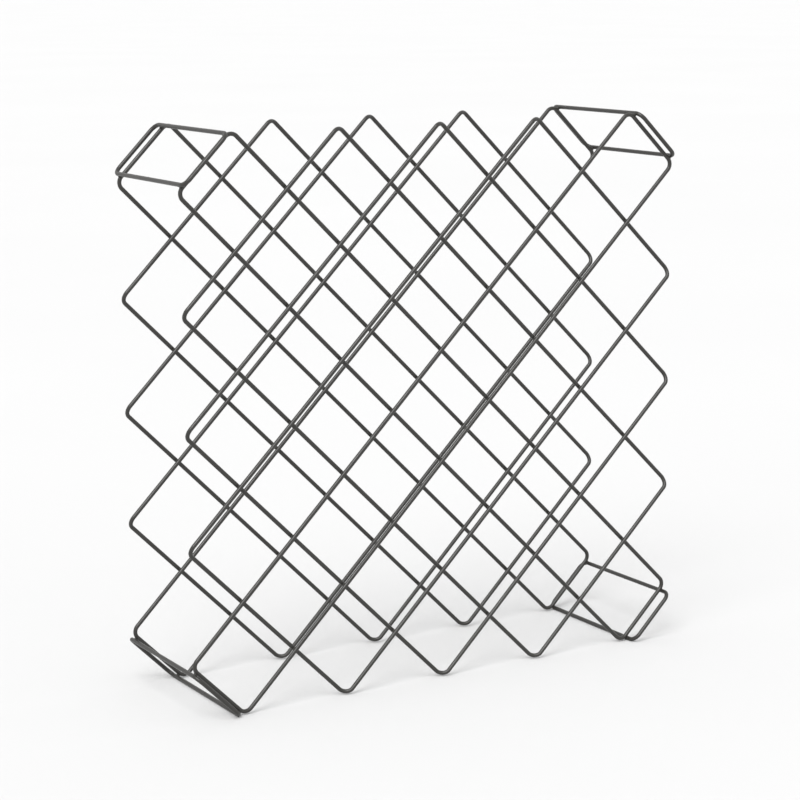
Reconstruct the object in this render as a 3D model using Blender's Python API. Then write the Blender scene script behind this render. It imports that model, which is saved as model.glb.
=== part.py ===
"""Free-standing wire wine rack: two diamond lattices joined by a wire link at each corner.

World frame in metres: +X to the right, +Y from the front lattice to the back one, +Z up.
The origin is on the floor, under the middle of the rack.

Each lattice is five closed rectangles of round wire, laid over each other about one centre and
turned 45 degrees, so that their straight runs cross as a diamond grid of square bottle cells.
"""

import math

import bmesh
import bpy
from mathutils import Vector

# Driving dimensions.
CELL = 0.094
WIRE_DIAMETER = 0.005
BEND_RADIUS = 0.010
LATTICE_SPACING = 0.163
LONGEST_RUN_CELLS = 9
LOOPS_PER_LATTICE = 5
LINK_WIDTH = 0.0755
LINK_OVERHANG = 0.012
WELD_GAP = 0.0003

# How finely the round wire and its bends are drawn.
WIRE_SIDES = 12
BEND_SEGMENTS = 6

# Finish: dark grey satin powder coat on steel.
COAT_COLOUR = (0.062, 0.059, 0.057, 1.0)
COAT_ROUGHNESS = 0.42
COAT_METALLIC = 0.0

# Sizes that follow from the ones above.
WIRE_RADIUS = WIRE_DIAMETER / 2
SIDE_ANGLE = math.tau / WIRE_SIDES
WIRE_CORNER_RADIUS = WIRE_RADIUS / math.cos(SIDE_ANGLE / 2)
LAYER_STEP = WIRE_DIAMETER + WELD_GAP
TIP_DISTANCE = LONGEST_RUN_CELLS * CELL / 2
LINK_DISTANCE = TIP_DISTANCE + WIRE_RADIUS + WELD_GAP + WIRE_CORNER_RADIUS
LINK_DEPTH = LATTICE_SPACING + 2 * LINK_OVERHANG
DIAGONAL = math.radians(45)
CENTRE_HEIGHT = (LINK_DISTANCE + LINK_WIDTH / 2) * math.sin(DIAGONAL) + WIRE_RADIUS

X_AXIS = Vector((1, 0, 0))
Y_AXIS = Vector((0, 1, 0))
Z_AXIS = Vector((0, 0, 1))


def clear_scene():
    """Remove whatever the scene holds."""
    for thing in list(bpy.data.objects):
        bpy.data.objects.remove(thing, do_unlink=True)


def coated_steel(name):
    """Powder-coated steel for one piece."""
    material = bpy.data.materials.new(name + "_coat")
    material.use_nodes = True
    shader = material.node_tree.nodes["Principled BSDF"]
    shader.inputs["Base Color"].default_value = COAT_COLOUR
    shader.inputs["Roughness"].default_value = COAT_ROUGHNESS
    shader.inputs["Metallic"].default_value = COAT_METALLIC
    material.diffuse_color = COAT_COLOUR
    return material


def bend_stations(along, across, length, width, layer_step):
    """Yield (centre, outward, sideways) for each cross-section of the wire, once round the loop.

    The wire's centreline is a rectangle of length by width with rounded corners. Runs parallel to
    along lie half a layer step on one side of the loop's plane and runs parallel to across lie
    half a step on the other, and each bend carries the wire over from one layer to the other.
    """
    normal = across.cross(along)
    quarter_turn = math.pi / 2
    bend_length = BEND_RADIUS * quarter_turn
    corner_signs = ((1, 1), (-1, 1), (-1, -1), (1, -1))
    for corner, (along_sign, across_sign) in enumerate(corner_signs):
        middle = along * along_sign * (length / 2 - BEND_RADIUS)
        middle += across * across_sign * (width / 2 - BEND_RADIUS)
        rise = layer_step if corner % 2 else -layer_step
        for step in range(BEND_SEGMENTS + 1):
            share = step / BEND_SEGMENTS
            angle = quarter_turn * (corner + share)
            outward = along * math.cos(angle) + across * math.sin(angle)
            forward = across * math.cos(angle) - along * math.sin(angle)
            layer = -rise / 2 * math.cos(math.pi * share)
            slope = rise / 2 * math.pi * math.sin(math.pi * share) / bend_length
            tangent = (forward + normal * slope).normalized()
            centre = middle + outward * BEND_RADIUS + normal * layer
            yield centre, outward, tangent.cross(outward)


def wire_loop_mesh(name, along, across, length, width, layer_step, first_corner):
    """Sweep the many-sided wire section round a closed loop and join the last ring to the first.

    first_corner is the angle of the section's first corner, measured from the loop's outward
    direction, so it decides whether a flat or a corner of the wire faces that way.
    """
    bm = bmesh.new()
    rings = []
    for centre, outward, sideways in bend_stations(along, across, length, width, layer_step):
        ring = []
        for side in range(WIRE_SIDES):
            angle = first_corner + side * SIDE_ANGLE
            offset = outward * math.cos(angle) + sideways * math.sin(angle)
            ring.append(bm.verts.new(centre + offset * WIRE_CORNER_RADIUS))
        rings.append(ring)
    for ring, next_ring in zip(rings, rings[1:] + rings[:1]):
        for side in range(WIRE_SIDES):
            after = (side + 1) % WIRE_SIDES
            bm.faces.new((ring[side], next_ring[side], next_ring[after], ring[after]))
    bmesh.ops.recalc_face_normals(bm, faces=bm.faces)
    mesh = bpy.data.meshes.new(name)
    bm.to_mesh(mesh)
    bm.free()
    mesh.shade_smooth()
    return mesh


def place(name, mesh, parent, location, turn):
    """Put one piece on its parent frame, with a material of its own."""
    piece = bpy.data.objects.new(name, mesh)
    bpy.context.collection.objects.link(piece)
    if not mesh.materials:
        mesh.materials.append(None)
    slot = piece.material_slots[0]
    slot.link = "OBJECT"
    slot.material = coated_steel(name)
    piece.parent = parent
    piece.location = location
    piece.rotation_euler = (0, turn, 0)
    return piece


def diamond_frame(name, depth):
    """Empty at the middle of the rack whose X axis runs up to the right, at 45 degrees."""
    frame = bpy.data.objects.new(name, None)
    bpy.context.collection.objects.link(frame)
    frame.location = (0, depth, CENTRE_HEIGHT)
    frame.rotation_euler = (0, -DIAGONAL, 0)
    return frame


def loop_sizes():
    """Cells along and across each loop of a lattice, from the longest rising one."""
    for index in range(LOOPS_PER_LATTICE):
        yield LONGEST_RUN_CELLS - 2 * index, 1 + 2 * index


def loop_layers(cells_along, cells_across):
    """Step between the two layers of a loop's runs, and the depth of its middle plane.

    The ends of a loop one cell wide cross no other loop, so it is flat and lies wholly in the
    layer of its long runs: the rising ones in front and the falling ones behind.
    """
    if cells_across == 1:
        return 0, -LAYER_STEP / 2
    if cells_along == 1:
        return 0, LAYER_STEP / 2
    return LAYER_STEP, 0


def build_lattices():
    """Both lattices, five crossing loops each; a loop's front and back copies share one mesh."""
    frames = (
        ("front", diamond_frame("front_lattice", -LATTICE_SPACING / 2)),
        ("back", diamond_frame("back_lattice", LATTICE_SPACING / 2)),
    )
    flat_outward = SIDE_ANGLE / 2
    for cells_along, cells_across in loop_sizes():
        label = "loop_%dx%d" % (cells_along, cells_across)
        length = cells_along * CELL
        width = cells_across * CELL
        layer_step, depth = loop_layers(cells_along, cells_across)
        mesh = wire_loop_mesh(label, X_AXIS, Z_AXIS, length, width, layer_step, flat_outward)
        for side, frame in frames:
            place("%s_%s" % (side, label), mesh, frame, (0, depth, 0), 0)


def build_links():
    """One upright wire loop across each lattice corner, outside the four short tip runs."""
    frame = diamond_frame("corner_links", 0)
    corner_outward = 0
    mesh = wire_loop_mesh("corner_link", Y_AXIS, Z_AXIS, LINK_DEPTH, LINK_WIDTH, 0, corner_outward)
    names = ("top_right", "top_left", "bottom_left", "bottom_right")
    for quarter, name in enumerate(names):
        turn = -quarter * math.pi / 2
        reach = Vector((math.cos(turn), 0, -math.sin(turn))) * LINK_DISTANCE
        place("corner_link_" + name, mesh, frame, reach, turn)


clear_scene()
build_lattices()
build_links()
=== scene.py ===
"""Looks of the wire wine rack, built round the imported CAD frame.

Every CAD wire is replaced by a smooth round one on the same centreline, with the resistance welds
that hold the crossing wires together and a satin powder coat over all of it. Metres, +Z up.
"""

import math
import random

import bmesh
import bpy
from mathutils import Matrix, Vector, noise


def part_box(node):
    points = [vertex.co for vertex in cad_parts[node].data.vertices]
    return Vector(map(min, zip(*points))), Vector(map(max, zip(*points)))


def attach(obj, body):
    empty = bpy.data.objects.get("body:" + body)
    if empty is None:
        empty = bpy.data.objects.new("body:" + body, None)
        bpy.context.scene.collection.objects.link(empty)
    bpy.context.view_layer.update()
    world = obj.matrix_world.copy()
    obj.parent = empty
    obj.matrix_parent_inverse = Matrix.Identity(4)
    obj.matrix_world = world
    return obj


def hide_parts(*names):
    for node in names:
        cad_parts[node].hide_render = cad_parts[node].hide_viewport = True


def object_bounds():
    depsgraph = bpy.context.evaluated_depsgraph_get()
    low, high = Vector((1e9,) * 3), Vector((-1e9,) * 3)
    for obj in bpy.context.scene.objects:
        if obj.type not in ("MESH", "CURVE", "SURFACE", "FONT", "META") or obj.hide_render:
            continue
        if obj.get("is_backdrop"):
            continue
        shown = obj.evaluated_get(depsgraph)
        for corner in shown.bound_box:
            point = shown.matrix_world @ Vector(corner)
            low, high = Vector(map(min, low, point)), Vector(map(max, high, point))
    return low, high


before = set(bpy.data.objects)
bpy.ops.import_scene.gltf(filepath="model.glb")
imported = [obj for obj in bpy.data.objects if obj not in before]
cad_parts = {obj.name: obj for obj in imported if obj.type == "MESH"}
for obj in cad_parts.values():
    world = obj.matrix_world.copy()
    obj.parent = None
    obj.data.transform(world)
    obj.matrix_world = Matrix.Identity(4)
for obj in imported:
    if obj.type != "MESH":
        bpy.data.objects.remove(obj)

CAD_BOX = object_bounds()
BODY = "root"

# The rack's layout, as the CAD source has it.
SIDES = ("front", "back")
LOOPS = ((9, 1), (7, 3), (5, 5), (3, 7), (1, 9))
SQUARE_LOOP = (5, 5)
LINKS = ("top_right", "top_left", "bottom_left", "bottom_right")
WIRE_DIAMETER = 0.005
BEND_RADIUS = 0.010
CAD_WIRE_SIDES = 12
FIT_TOLERANCE = 0.0002

# How finely a wire is drawn.
WIRE_SIDES = 24
BEND_SEGMENTS = 24
RUN_STEP = 0.006

# Wire flattens a little where it is bent, and the coat is never quite even.
BEND_SQUEEZE = 0.035
COAT_UNEVENNESS = 0.00003
COAT_WAVE_LENGTH = 0.012

# Each loop is closed by a butt weld, dressed flush outside and left proud inside. No other section
# is drawn within its clearance, in half widths.
SEAM_HEIGHT = 0.00022
SEAM_HALF_WIDTH = 0.0011
SEAM_CLEARANCE = 1.5
SEAM_RINGS = 8

# Resistance weld between two crossing wires. It fills the space between them out to where they are
# the edge gap apart, and its free side is hollow down to where they are the waist gap apart.
WELD_EDGE_GAP = 0.0019
WELD_WAIST_GAP = 0.0012
WELD_LOBE = 0.12
WELD_EMBED = 0.0001
WELD_VARIATION = 0.06
WELD_RIPPLE = 0.05
WELD_RIPPLES_AROUND = 1.3
WELD_AROUND = 32
WELD_LEVELS = 8
WELD_SEED = 41
BISECTIONS = 30

# Where bottles rub the coat: distance up each wire from the crossing below, and reach of the mark.
BODY_CONTACT = 0.040
NECK_CONTACT = 0.017
CONTACT_REACH = 0.011

# Powder coat: colours in linear light, roughness, and the waves of its texture with their heights.
COAT_DARK = (0.0148, 0.0139, 0.0118, 1)
COAT_LIGHT = (0.0285, 0.0270, 0.0236, 1)
COAT_ROUGHNESS = 0.30
COAT_ROUGHNESS_SPREAD = 0.14
COAT_IOR = 1.5
CLOUD_WAVE = 0.045
CLOUD_SHARE = 0.4
PEEL_WAVE = 0.0012
GRAIN_WAVE = 0.0003
GRAIN_SHARE = 0.6
DARK_BELOW = 0.32
LIGHT_ABOVE = 0.68
PEEL_HEIGHT = 0.00006
GRAIN_HEIGHT = 0.000018
RUB_POLISH = 0.12
WELD_RELIEF = 2.5

# Floor and light. A light is (azimuth, elevation, strength, width of its source in degrees).
FLOOR_RADIUS = 300
FLOOR_EDGES = 96
FLOOR_WAVE = 1.5
FLOOR_DARK = (0.605, 0.605, 0.605, 1)
FLOOR_LIGHT = (0.615, 0.615, 0.615, 1)
FLOOR_ROUGHNESS = 0.8
FLOOR_SPECULAR = 0.2
SURROUND_STRENGTH = 0.985
KEY_LIGHT = (-50, 50, 2.5, 35)
FILL_LIGHT = (40, 35, 0.1, 60)
LAMP_DISTANCE = 3

# Camera, a little above the rack and to its left. Its aim is that far off the rack's middle.
CAMERA_AZIMUTH = math.radians(-30.49)
CAMERA_ELEVATION = math.radians(10.77)
CAMERA_ROLL = math.radians(0.5)
CAMERA_DISTANCE = 2.7304
CAMERA_LENS = 101.96
CAMERA_SENSOR = 36.0
AIM_LEFT = 0.0070
AIM_BELOW = 0.0073

WIRE_RADIUS = WIRE_DIAMETER / 2
CAD_CORNER_RADIUS = WIRE_RADIUS / math.cos(math.pi / CAD_WIRE_SIDES)
HALF_ROOT = math.sqrt(0.5)
QUARTER_TURN = math.pi / 2

Y_AXIS = Vector((0, 1, 0))
RISING = Vector((HALF_ROOT, 0, HALF_ROOT))
FALLING = Vector((-HALF_ROOT, 0, HALF_ROOT))


def middle_and_size(node):
    """Centre and size of a CAD node's box."""
    low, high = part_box(node)
    return (low + high) / 2, high - low


def loop_node(side, cells_along, cells_across):
    """Name of a lattice loop's CAD node."""
    return "%s_loop_%dx%d" % (side, cells_along, cells_across)


# Sizes read back from the frame. BENDS_APART is the distance between the centres of two bends.
RACK_CENTRE = (CAD_BOX[0] + CAD_BOX[1]) / 2
LATTICE_CENTRES = {side: middle_and_size(loop_node(side, *SQUARE_LOOP))[0] for side in SIDES}
SQUARE_SIZE = middle_and_size(loop_node("front", *SQUARE_LOOP))[1]
LINK_CENTRES = {link: middle_and_size("corner_link_" + link)[0] for link in LINKS}
LINK_SIZE = middle_and_size("corner_link_top_right")[1]
LAYER_STEP = SQUARE_SIZE.y - WIRE_DIAMETER
BENDS_APART = (SQUARE_SIZE.x / 2 - BEND_RADIUS - WIRE_RADIUS) / HALF_ROOT
CELL = (BENDS_APART + 2 * BEND_RADIUS) / SQUARE_LOOP[0]
TIP_DISTANCE = LOOPS[0][0] * CELL / 2
LINK_DEPTH = LINK_SIZE.y - 2 * CAD_CORNER_RADIUS
LINK_WIDTH = (LINK_SIZE.x - WIRE_DIAMETER) / HALF_ROOT


# ---------------------------------------------------------------- wires


def loop_stations(along, across, length, width, layer_step, seam_corner):
    """Yield (centre, outward, sideways, bend, seam) for each section once round a closed loop.

    The centreline is a rectangle of length by width with rounded corners. Runs parallel to along
    lie half a layer step on one side of its plane, the others half a step on the other side, and
    each bend carries the wire over. bend is 1 in the middle of a bend and 0 on a run. seam is 1 at
    the butt weld, in the middle of the run after seam_corner, and fades to 0 beside it.
    """
    normal = across.cross(along)
    bend_length = BEND_RADIUS * QUARTER_TURN
    for corner, (along_sign, across_sign) in enumerate(((1, 1), (-1, 1), (-1, -1), (1, -1))):
        middle = along * along_sign * (length / 2 - BEND_RADIUS)
        middle += across * across_sign * (width / 2 - BEND_RADIUS)
        rise = layer_step if corner % 2 else -layer_step
        for step in range(BEND_SEGMENTS + 1):
            share = step / BEND_SEGMENTS
            angle = QUARTER_TURN * (corner + share)
            outward = along * math.cos(angle) + across * math.sin(angle)
            forward = across * math.cos(angle) - along * math.sin(angle)
            layer = -rise / 2 * math.cos(math.pi * share)
            slope = rise / 2 * math.pi * math.sin(math.pi * share) / bend_length
            tangent = (forward + normal * slope).normalized()
            centre = middle + outward * BEND_RADIUS + normal * layer
            yield centre, outward, tangent.cross(outward), math.sin(math.pi * share), 0.0
        run = (width if corner % 2 else length) - 2 * BEND_RADIUS
        for distance, seam in run_marks(run, corner == seam_corner):
            yield centre + forward * distance, outward, forward.cross(outward), 0.0, seam


def run_marks(run, has_seam):
    """Distances along a straight run where a section is drawn, with the height of the seam there."""
    steps = max(2, round(run / RUN_STEP))
    marks = [(run * step / steps, 0.0) for step in range(1, steps)]
    if not has_seam:
        return marks
    clear = [mark for mark in marks if abs(mark[0] - run / 2) > SEAM_CLEARANCE * SEAM_HALF_WIDTH]
    for ring in range(-SEAM_RINGS, SEAM_RINGS + 1):
        share = ring / SEAM_RINGS
        clear.append((run / 2 + share * SEAM_HALF_WIDTH, (1 + math.cos(math.pi * share)) / 2))
    return sorted(clear)


def join_rings(bm, ring, next_ring):
    """Faces between two rings with the same number of points."""
    for point in range(len(ring)):
        after = (point + 1) % len(ring)
        bm.faces.new((ring[point], next_ring[point], next_ring[after], ring[after]))


def section_point(centre, outward, sideways, bend, seam, angle):
    """Point of the wire's surface at that angle from the outward direction of a section.

    The seam stands proud on the inside of the loop only, and the unevenness of the coat only takes
    away from the wire's radius, so a wire never passes its CAD box.
    """
    outer = math.cos(angle)
    side = math.sin(angle)
    inside = ((1 - outer) / 2) ** 3
    radius = WIRE_RADIUS + SEAM_HEIGHT * seam * inside
    squeezed = outer * (1 - BEND_SQUEEZE * bend)
    spread = side * (1 + BEND_SQUEEZE * bend / 2)
    point = centre + (outward * squeezed + sideways * spread) * radius
    coat = (1 + noise.noise(point / COAT_WAVE_LENGTH)) / 2
    return point - (point - centre).normalized() * COAT_UNEVENNESS * coat


def wire_piece(name, centre, along, across, length, width, layer_step, contact):
    """One closed loop of round wire. contact is where bottles rub it, or None."""
    bm = bmesh.new()
    rub_layer = bm.verts.layers.float.new("rub")
    seam_corner = 2 if length >= width else 3
    rings = []
    for station in loop_stations(along, across, length, width, layer_step, seam_corner):
        middle, outward, sideways, bend, seam = station
        ring = []
        for side in range(WIRE_SIDES):
            angle = math.tau * side / WIRE_SIDES
            vertex = bm.verts.new(centre + section_point(middle, outward, sideways, bend, seam, angle))
            if contact is not None and bend == 0:
                normal = outward * math.cos(angle) + sideways * math.sin(angle)
                vertex[rub_layer] = rub_at(middle, outward, normal, along, across, contact)
            ring.append(vertex)
        rings.append(ring)
    for ring, next_ring in zip(rings, rings[1:] + rings[:1]):
        join_rings(bm, ring, next_ring)
    return finished_piece(name, bm)


def rub_at(middle, outward, normal, along, across, contact):
    """How much a bottle rubs the coat at a point of a straight run, from 0 to 1.

    Both lattice axes point upwards, so a bottle lies on the side of each run that faces up, at a
    fixed distance above the crossing below it.
    """
    run_axis, facing_axis = (along, across) if abs(outward.dot(across)) > HALF_ROOT else (across, along)
    above_crossing = (middle.dot(run_axis) / CELL + 0.5) % 1 * CELL
    near = math.exp(-(((above_crossing - contact) / CONTACT_REACH) ** 2))
    return near * max(0.0, normal.dot(facing_axis))


def finished_piece(name, bm):
    """Turn a bmesh into a smooth-shaded object in the scene."""
    bmesh.ops.recalc_face_normals(bm, faces=bm.faces)
    mesh = bpy.data.meshes.new(name)
    bm.to_mesh(mesh)
    bm.free()
    mesh.shade_smooth()
    piece = bpy.data.objects.new(name, mesh)
    bpy.context.collection.objects.link(piece)
    return piece


def dress(piece, material, *nodes):
    """Give a piece its finish, put it on the rack and hide the CAD nodes it stands for."""
    piece.data.materials.append(material)
    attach(piece, BODY)
    if nodes:
        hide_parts(*nodes)


def check_fit(piece, node):
    """Stop if a wire isn't where its CAD node is."""
    for low_or_high, corner in zip((min, max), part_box(node)):
        for axis in range(3):
            reach = low_or_high(vertex.co[axis] for vertex in piece.data.vertices)
            if abs(reach - corner[axis]) > FIT_TOLERANCE:
                raise ValueError("%s is %.5f m off on axis %d" % (node, reach - corner[axis], axis))


def build_wires(material):
    """The ten lattice loops and the four corner links."""
    for side, contact in zip(SIDES, (NECK_CONTACT, BODY_CONTACT)):
        for cells_along, cells_across in LOOPS:
            node = loop_node(side, cells_along, cells_across)
            centre, size = middle_and_size(node)
            length = cells_along * CELL
            width = cells_across * CELL
            layer_step = size.y - WIRE_DIAMETER
            piece = wire_piece(
                node + "_wire", centre, RISING, FALLING, length, width, layer_step, contact
            )
            dress(piece, material, node)
            check_fit(piece, node)
    for link, centre in LINK_CENTRES.items():
        node = "corner_link_" + link
        piece = wire_piece(
            node + "_wire", centre, Y_AXIS, link_axes(centre)[1], LINK_DEPTH, LINK_WIDTH, 0, None
        )
        dress(piece, material, node)
        check_fit(piece, node)


def link_axes(centre):
    """Directions from the rack's middle out to a corner link, and across the link."""
    out = (centre - RACK_CENTRE).normalized()
    return out, Y_AXIS.cross(out)


# ---------------------------------------------------------------- welds


def gap_radius(angle, gap, half_distance):
    """Distance from a crossing's middle, in direction angle, at which the wires are gap apart."""
    near = 0.0
    far = WIRE_RADIUS / max(abs(math.sin(angle)), abs(math.cos(angle)))
    for _ in range(BISECTIONS):
        radius = (near + far) / 2
        lower = math.sqrt(max(WIRE_RADIUS**2 - (radius * math.sin(angle)) ** 2, 0))
        upper = math.sqrt(max(WIRE_RADIUS**2 - (radius * math.cos(angle)) ** 2, 0))
        if 2 * half_distance - lower - upper < gap:
            near = radius
        else:
            far = radius
    return near


def weld_profile(half_distance):
    """Waist and edge radius of a weld for each direction round it."""
    profile = []
    for step in range(WELD_AROUND):
        angle = math.tau * step / WELD_AROUND
        lobe = 1 + WELD_LOBE * math.sin(2 * angle) ** 2
        waist = gap_radius(angle, WELD_WAIST_GAP, half_distance) * lobe
        edge = gap_radius(angle, WELD_EDGE_GAP, half_distance) * lobe
        profile.append((angle, waist, edge))
    return profile


def root_height(offset):
    """Height of a weld's root above a straight wire's centreline, offset to one side of it."""
    return math.sqrt(max((WIRE_RADIUS - WELD_EMBED) ** 2 - offset**2, 0))


def add_weld(bm, middle, axes, floor_height, roof_height, profile, rng):
    """Add one weld between two wires that cross at right angles.

    axes are the directions of the lower wire, of the upper wire and from the lower to the upper
    one. The heights give where the weld's two ends lie inside the wires, over a point in the
    plane halfway between them.
    """
    lower_axis, upper_axis, normal = axes
    size = 1 + WELD_VARIATION * rng.uniform(-1, 1)
    phase = Vector((rng.uniform(0, 100), 0, 0))
    rings = []
    for level in range(WELD_LEVELS + 1):
        share = level / WELD_LEVELS
        flare = abs(2 * share - 1) ** 2
        ring = []
        for angle, waist, edge in profile:
            direction = Vector((math.cos(angle), math.sin(angle), 0))
            ripple = size + WELD_RIPPLE * noise.noise(phase + direction * WELD_RIPPLES_AROUND)
            radius = (waist + (edge - waist) * flare) * ripple
            x = radius * direction.x
            y = radius * direction.y
            floor = floor_height(x, y)
            z = floor + (roof_height(x, y) - floor) * share
            ring.append(bm.verts.new(middle + lower_axis * x + upper_axis * y + normal * z))
        rings.append(ring)
    for ring, next_ring in zip(rings, rings[1:]):
        join_rings(bm, ring, next_ring)
    floor_tip = floor_height(0, 0) - WIRE_RADIUS
    roof_tip = roof_height(0, 0) + WIRE_RADIUS
    for ring, depth in ((rings[0], floor_tip), (rings[-1], roof_tip)):
        tip = bm.verts.new(middle + normal * depth)
        for step in range(WELD_AROUND):
            bm.faces.new((ring[step], ring[(step + 1) % WELD_AROUND], tip))


def build_lattice_welds(material, rng):
    """A weld at every crossing of two loops, one piece for each lattice."""
    half_distance = LAYER_STEP / 2
    profile = weld_profile(half_distance)
    axes = (RISING, FALLING, Y_AXIS)

    def floor_height(_, y):
        return root_height(y) - half_distance

    def roof_height(x, _):
        return half_distance - root_height(x)

    for side in SIDES:
        bm = bmesh.new()
        for index, (_, cells_across) in enumerate(LOOPS):
            for cells_along, _ in LOOPS[index + 1:]:
                for rise in (-cells_along * CELL / 2, cells_along * CELL / 2):
                    for fall in (-cells_across * CELL / 2, cells_across * CELL / 2):
                        middle = LATTICE_CENTRES[side] + RISING * rise + FALLING * fall
                        add_weld(bm, middle, axes, floor_height, roof_height, profile, rng)
        dress(finished_piece(side + "_lattice_welds", bm), material)


def link_weld_heights(half_distance, offset, depth):
    """Height functions of the weld at that place on a link; both wires start to bend beside it.

    offset is the weld's distance across the link from its middle, depth the distance along it.
    """
    end_of_run = CELL / 2 - BEND_RADIUS
    end_of_side = LINK_DEPTH / 2 - BEND_RADIUS

    def floor_height(x, y):
        past_run = max(abs(offset + x) - end_of_run, 0)
        bent = math.sqrt((BEND_RADIUS + root_height(y)) ** 2 - past_run**2)
        return bent - BEND_RADIUS - half_distance

    def roof_height(x, y):
        past_side = max(abs(depth + y) - end_of_side, 0)
        from_bend = math.hypot(past_side, abs(offset + x) - LINK_WIDTH / 2 + BEND_RADIUS)
        return half_distance - root_height(from_bend - BEND_RADIUS)

    return floor_height, roof_height


def build_link_welds(material, rng):
    """Four welds for each corner link, where its long sides cross the ends of the longest loops."""
    for link, centre in LINK_CENTRES.items():
        out, across = link_axes(centre)
        half_distance = ((centre - RACK_CENTRE).length - TIP_DISTANCE) / 2
        profile = weld_profile(half_distance)
        longest_loop = LOOPS[0] if abs(out.dot(RISING)) > HALF_ROOT else LOOPS[-1]
        bm = bmesh.new()
        for side in SIDES:
            end_of_loop = middle_and_size(loop_node(side, *longest_loop))[0] + out * TIP_DISTANCE
            depth = end_of_loop.y - centre.y
            for offset in (-LINK_WIDTH / 2, LINK_WIDTH / 2):
                middle = end_of_loop + out * half_distance + across * offset
                heights = link_weld_heights(half_distance, offset, depth)
                add_weld(bm, middle, (across, Y_AXIS, out), *heights, profile, rng)
        dress(finished_piece("corner_link_%s_welds" % link, bm), material)


# ---------------------------------------------------------------- finish


class NodeKit:
    """Short calls for building one material's node tree."""

    def __init__(self, name):
        self.material = bpy.data.materials.new(name)
        self.material.use_nodes = True
        self.tree = self.material.node_tree
        self.shader = self.tree.nodes["Principled BSDF"]

    def add(self, kind, **settings):
        """A new node of that kind with its settings."""
        node = self.tree.nodes.new(kind)
        for key, value in settings.items():
            setattr(node, key, value)
        return node

    def link(self, source, target):
        """Join an output to an input."""
        self.tree.links.new(source, target)

    def noise(self, coordinates, wave_length, detail):
        """Noise with that wave length in metres, from 0 to 1."""
        node = self.add("ShaderNodeTexNoise")
        node.inputs["Scale"].default_value = 1 / wave_length
        node.inputs["Detail"].default_value = detail
        self.link(coordinates, node.inputs["Vector"])
        return node.outputs["Fac"]

    def math(self, operation, first, second):
        """Result of a two-sided calculation; each side is an output or a number."""
        node = self.add("ShaderNodeMath", operation=operation)
        for socket, value in zip(node.inputs, (first, second)):
            if isinstance(value, (int, float)):
                socket.default_value = value
            else:
                self.link(value, socket)
        return node.outputs[0]

    def ramp(self, factor, stops):
        """Colours along a factor; stops are (place, colour) pairs."""
        node = self.add("ShaderNodeValToRGB")
        elements = node.color_ramp.elements
        for element, (place, colour) in zip(elements, stops):
            element.position = place
            element.color = colour
        self.link(factor, node.inputs["Fac"])
        return node.outputs["Color"]

    def bump(self, height, distance, below):
        """Surface relief of that height in metres, laid over another normal if there is one."""
        node = self.add("ShaderNodeBump")
        node.inputs["Distance"].default_value = distance
        self.link(height, node.inputs["Height"])
        if below is not None:
            self.link(below, node.inputs["Normal"])
        return node.outputs["Normal"]


def powder_coat(name, relief):
    """Satin dark grey powder coat. relief scales the height of its texture.

    The "rub" attribute, which only the wires have, polishes it where bottles lie.
    """
    kit = NodeKit(name)
    place = kit.add("ShaderNodeTexCoord").outputs["Object"]
    rub = kit.add("ShaderNodeAttribute", attribute_name="rub").outputs["Fac"]
    cloud = kit.noise(place, CLOUD_WAVE, 2)
    peel = kit.noise(place, PEEL_WAVE, 3)
    grain = kit.noise(place, GRAIN_WAVE, 2)
    clouding = kit.math("MULTIPLY", cloud, CLOUD_SHARE)
    tone = kit.math("ADD", clouding, kit.math("MULTIPLY", grain, GRAIN_SHARE))
    colour = kit.ramp(tone, ((DARK_BELOW, COAT_DARK), (LIGHT_ABOVE, COAT_LIGHT)))
    kit.link(colour, kit.shader.inputs["Base Color"])
    satin = kit.math("ADD", kit.math("MULTIPLY", peel, COAT_ROUGHNESS_SPREAD), COAT_ROUGHNESS)
    worn = kit.math("SUBTRACT", satin, kit.math("MULTIPLY", rub, RUB_POLISH))
    kit.link(worn, kit.shader.inputs["Roughness"])
    relief_below = kit.bump(peel, PEEL_HEIGHT * relief, None)
    kit.link(kit.bump(grain, GRAIN_HEIGHT * relief, relief_below), kit.shader.inputs["Normal"])
    kit.shader.inputs["IOR"].default_value = COAT_IOR
    return kit.material


# ---------------------------------------------------------------- stage


def build_floor():
    """Plain pale floor, wide enough to fill every view."""
    bm = bmesh.new()
    bmesh.ops.create_circle(bm, cap_ends=True, segments=FLOOR_EDGES, radius=FLOOR_RADIUS)
    floor = finished_piece("studio_floor", bm)
    kit = NodeKit("pale_floor")
    place = kit.add("ShaderNodeTexCoord").outputs["Object"]
    shade = kit.ramp(kit.noise(place, FLOOR_WAVE, 3), ((0.3, FLOOR_DARK), (0.7, FLOOR_LIGHT)))
    kit.link(shade, kit.shader.inputs["Base Color"])
    kit.shader.inputs["Roughness"].default_value = FLOOR_ROUGHNESS
    kit.shader.inputs["Specular IOR Level"].default_value = FLOOR_SPECULAR
    floor.data.materials.append(kit.material)
    floor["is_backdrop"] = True


def direction(azimuth, elevation):
    """Unit vector from the rack towards a viewer or lamp; azimuth 0 is straight in front."""
    level = math.cos(elevation)
    return Vector((math.sin(azimuth) * level, -math.cos(azimuth) * level, math.sin(elevation)))


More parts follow.
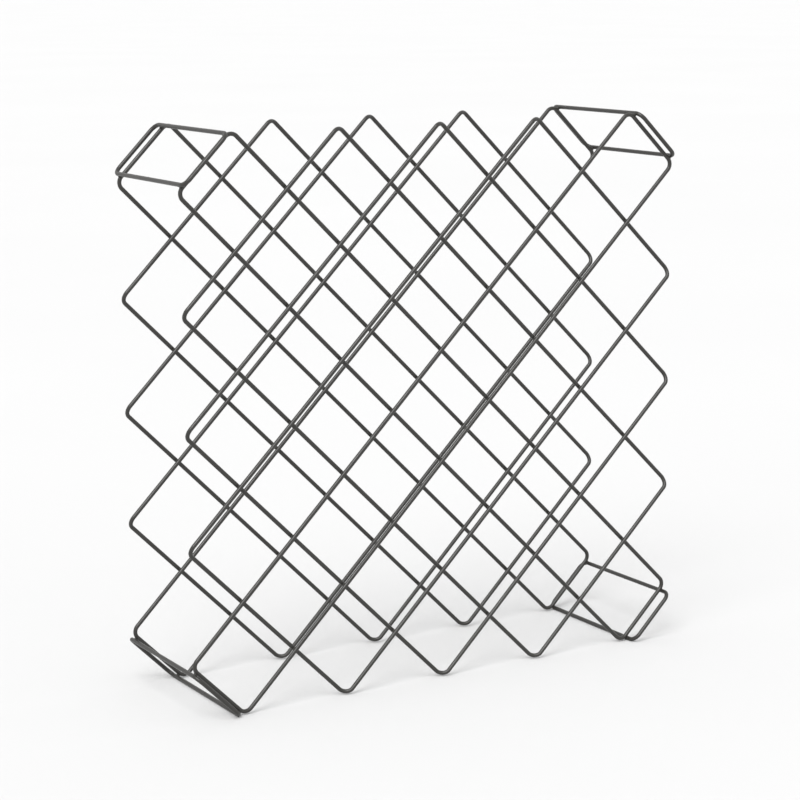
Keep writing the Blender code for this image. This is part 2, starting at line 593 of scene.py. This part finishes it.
def add_sun(name, azimuth, elevation, strength, softness):
    """Soft even light from a direction; softness is the width of its source in degrees."""
    data = bpy.data.lights.new(name, "SUN")
    data.energy = strength
    data.angle = math.radians(softness)
    lamp = bpy.data.objects.new(name, data)
    bpy.context.collection.objects.link(lamp)
    towards = direction(math.radians(azimuth), math.radians(elevation))
    lamp.rotation_euler = towards.to_track_quat("Z", "Y").to_euler()
    lamp.location = RACK_CENTRE + towards * LAMP_DISTANCE


def build_light():
    """White studio surround with a soft key light from the upper left and a weak fill."""
    world = bpy.data.worlds.new("studio_surround")
    world.use_nodes = True
    background = world.node_tree.nodes["Background"]
    background.inputs["Color"].default_value = (1, 1, 1, 1)
    background.inputs["Strength"].default_value = SURROUND_STRENGTH
    bpy.context.scene.world = world
    add_sun("key_light", *KEY_LIGHT)
    add_sun("fill_light", *FILL_LIGHT)
    bpy.context.scene.view_settings.view_transform = "Standard"


def build_camera():
    """Camera looking at the rack from the left and a little above."""
    back = direction(CAMERA_AZIMUTH, CAMERA_ELEVATION)
    right = Vector((0, 0, 1)).cross(back).normalized()
    up = back.cross(right)
    aim = RACK_CENTRE - right * AIM_LEFT - up * AIM_BELOW
    upright = Matrix((right, up, back)).transposed()
    turned = upright @ Matrix.Rotation(-CAMERA_ROLL, 3, "Z")
    data = bpy.data.cameras.new("main_camera")
    data.lens = CAMERA_LENS
    data.sensor_width = CAMERA_SENSOR
    camera = bpy.data.objects.new("main_camera", data)
    bpy.context.collection.objects.link(camera)
    place = Matrix.Translation(aim + back * CAMERA_DISTANCE)
    camera.matrix_world = place @ turned.to_4x4()
    bpy.context.scene.camera = camera


build_camera()
build_floor()
build_light()
build_wires(powder_coat("wire_coat", 1))
rng = random.Random(WELD_SEED)
weld_coat = powder_coat("weld_coat", WELD_RELIEF)
build_lattice_welds(weld_coat, rng)
build_link_welds(weld_coat, rng)

boxes = {"cad": CAD_BOX, "visual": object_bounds()}
{name: [list(corner) for corner in box] for name, box in boxes.items()}
